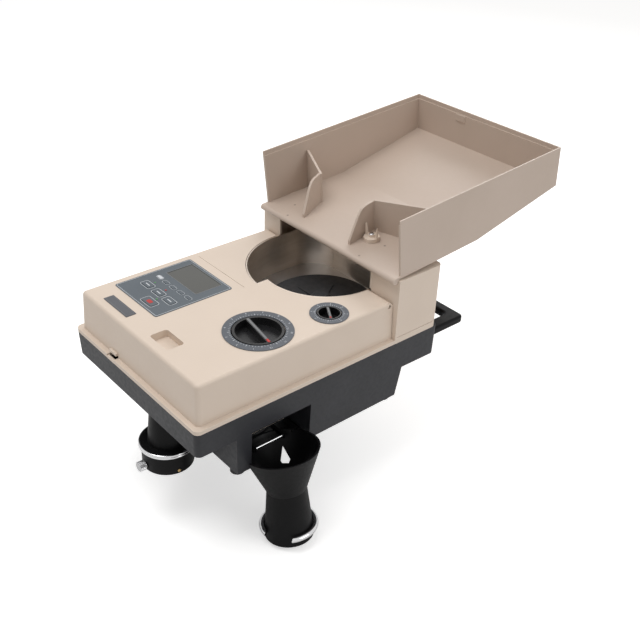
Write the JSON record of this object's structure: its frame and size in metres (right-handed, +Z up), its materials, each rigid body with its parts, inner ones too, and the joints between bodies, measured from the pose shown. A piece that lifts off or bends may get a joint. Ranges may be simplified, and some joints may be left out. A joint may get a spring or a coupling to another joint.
{
  "type": "coin sorting machine",
  "caption": "Table-top coin counter and off-sorter with tilted coin tray, hopper bowl, two gauge dials, key panel and two bag outlets under a lifting cover.",
  "frame": {"origin": "on the plane under the feet, below the middle of the case", "axes": "+X to the right seen from the front, +Y to the rear, +Z up; the front faces -Y"},
  "size_m": [0.3155, 0.5826, 0.3789],
  "materials": {
    "beige_plastic": "satin, fine moulded grain",
    "black_plastic": "satin, fine moulded grain",
    "knob_black": "satin",
    "dial_grey": "printed, matt",
    "panel_grey": "matt film",
    "key_red": "satin",
    "window_dark": "clear gloss",
    "circuit_green": "lacquered board",
    "stainless": "brushed",
    "plated_steel": "zinc plated",
    "chrome": "bright",
    "cast_alloy": "as cast",
    "disc_rubber": "ribbed, matt",
    "belt_rubber": "matt",
    "bright_steel": "turned",
    "motor_steel": "satin",
    "sensor_black": "matt"
  },
  "bodies": {
    "machine": {"rear_cover": "beige_plastic", "hopper_tray": "beige_plastic", "coin_guides": "beige_plastic", "base_pan": "black_plastic", "carry_handle": "black_plastic", "off_sort_funnel": "black_plastic", "count_spout": "black_plastic", "spout_collar": "black_plastic", "power_inlet": "black_plastic", "switch_frame": "black_plastic", "control_board": "circuit_green", "hopper_shield": "stainless", "hopper_ring": "stainless", "off_sort_chute": "stainless", "count_chute": "stainless", "coin_rail": "stainless", "chassis_deck": "plated_steel", "hinge_brackets": "plated_steel", "deck_brackets": "plated_steel", "belt_frame": "plated_steel", "deck_screws": "plated_steel", "spout_ring": "chrome", "funnel_ring": "chrome", "funnel_rod": "chrome", "hopper_base": "cast_alloy", "bearing_housing": "cast_alloy", "drive_belt": "belt_rubber", "transport_belt": "belt_rubber", "feet": "belt_rubber", "disc_bearing": "bright_steel", "drive_motor": "motor_steel", "transport_motor": "motor_steel", "transformer": "motor_steel", "count_sensor": "sensor_black"},
    "cover": {"top_cover": "beige_plastic", "control_panel": "panel_grey", "display_window": "window_dark", "display_board": "circuit_green", "diameter_ring": "dial_grey", "thickness_ring": "dial_grey"},
    "count_key": {"count_key": "panel_grey"},
    "batch_key": {"batch_key": "panel_grey"},
    "clear_key": {"clear_key": "panel_grey"},
    "start_key": {"start_key": "key_red"},
    "diameter_dial": {"diameter_knob": "knob_black"},
    "gauge_drive": {"gauge_shaft": "bright_steel"},
    "gauge": {"gauge_slide": "stainless"},
    "thickness_dial": {"thickness_knob": "knob_black"},
    "gate_drive": {"gate_screw": "bright_steel"},
    "gate": {"thickness_gate": "stainless"},
    "disc": {"feed_disc": "disc_rubber", "disc_shaft": "bright_steel", "disc_pulley": "cast_alloy"},
    "motor_pulley": {"motor_pulley": "cast_alloy"},
    "rear_roller": {"rear_roller": "cast_alloy"},
    "front_roller": {"front_roller": "cast_alloy"},
    "catch": {"cover_catch": "sensor_black"},
    "rocker": {"power_rocker": "black_plastic"},
    "wing_screw": {"tray_wing_screw": "beige_plastic"},
    "thumb_screw": {"thumb_screw": "chrome"}
  },
  "joints": [
    {"name": "cover_lift", "type": "hinge", "parent": "machine", "child": "cover", "pos_m": [0, 0.1015, 0.139], "axis": [-1, 0, 0], "range_deg": [0, 65]},
    {"name": "count_key_press", "type": "slide", "parent": "cover", "child": "count_key", "axis": [0, 0, -1], "range_m": [0, 0.0005], "stiffness_N_per_m": 1500},
    {"name": "batch_key_press", "type": "slide", "parent": "cover", "child": "batch_key", "axis": [0, 0, -1], "range_m": [0, 0.0005], "stiffness_N_per_m": 1500},
    {"name": "clear_key_press", "type": "slide", "parent": "cover", "child": "clear_key", "axis": [0, 0, -1], "range_m": [0, 0.0005], "stiffness_N_per_m": 1500},
    {"name": "start_key_press", "type": "slide", "parent": "cover", "child": "start_key", "axis": [0, 0, -1], "range_m": [0, 0.0005], "stiffness_N_per_m": 1500},
    {"name": "diameter_turn", "type": "hinge", "parent": "cover", "child": "diameter_dial", "pos_m": [0.0749, -0.0576, 0.145], "axis": [0, 0, 1], "range_deg": [-120, 120]},
    {"name": "gauge_drive_turn", "type": "hinge", "parent": "machine", "child": "gauge_drive", "pos_m": [0.0749, -0.0576, 0.1], "axis": [0, 0, 1], "range_deg": [-120.2, 120.2]},
    {"name": "gauge_move", "type": "slide", "parent": "machine", "child": "gauge", "axis": [0.9703, -0.2419, 0], "range_m": [-0.01006, 0.01006]},
    {"name": "thickness_turn", "type": "hinge", "parent": "cover", "child": "thickness_dial", "pos_m": [0.0948, 0.0302, 0.145], "axis": [0, 0, 1], "range_deg": [0, 270]},
    {"name": "gate_drive_turn", "type": "hinge", "parent": "machine", "child": "gate_drive", "pos_m": [0.0948, 0.0302, 0.1], "axis": [0, 0, 1], "range_deg": [-0.2, 270.2]},
    {"name": "gate_lift", "type": "slide", "parent": "machine", "child": "gate", "axis": [0, 0, 1], "range_m": [0, 0.003]},
    {"name": "disc_spin", "type": "hinge", "parent": "machine", "child": "disc", "pos_m": [0, 0.101, 0.087], "axis": [0, 0, 1], "continuous": true},
    {"name": "motor_spin", "type": "hinge", "parent": "machine", "child": "motor_pulley", "pos_m": [-0.06, 0.01, 0.062], "axis": [0, 0, 1], "continuous": true},
    {"name": "rear_roller_spin", "type": "hinge", "parent": "machine", "child": "rear_roller", "pos_m": [0.03839, -0.00339, 0.1054], "axis": [0.9703, -0.2419, 0], "continuous": true},
    {"name": "front_roller_spin", "type": "hinge", "parent": "machine", "child": "front_roller", "pos_m": [0.00984, -0.11788, 0.1054], "axis": [0.9703, -0.2419, 0], "continuous": true},
    {"name": "catch_push", "type": "slide", "parent": "machine", "child": "catch", "axis": [0, 1, 0], "range_m": [0, 0.003], "stiffness_N_per_m": 400},
    {"name": "power_rock", "type": "hinge", "parent": "machine", "child": "rocker", "pos_m": [-0.126, 0.104, 0.066], "axis": [0, 0, 1], "range_deg": [-8, 8]},
    {"name": "wing_screw_turn", "type": "hinge", "parent": "machine", "child": "wing_screw", "pos_m": [0.0416, 0.1439, 0.18076], "axis": [0, -0.0776, 0.997], "continuous": true},
    {"name": "thumb_screw_turn", "type": "hinge", "parent": "machine", "child": "thumb_screw", "pos_m": [0.01881, -0.18498, -0.022], "axis": [-0.0349, -0.9994, 0], "continuous": true}
  ],
  "couplings": [
    {"joint": "gauge_drive_turn", "follows": "diameter_turn", "ratio": 1},
    {"joint": "gate_drive_turn", "follows": "thickness_turn", "ratio": 1},
    {"joint": "gauge_move", "follows": "diameter_turn", "m_per_rad": -0.0048},
    {"joint": "gate_lift", "follows": "thickness_turn", "m_per_rad": 0.00063662},
    {"joint": "motor_spin", "follows": "disc_spin", "ratio": 2.5},
    {"joint": "front_roller_spin", "follows": "rear_roller_spin", "ratio": 1}
  ]
}
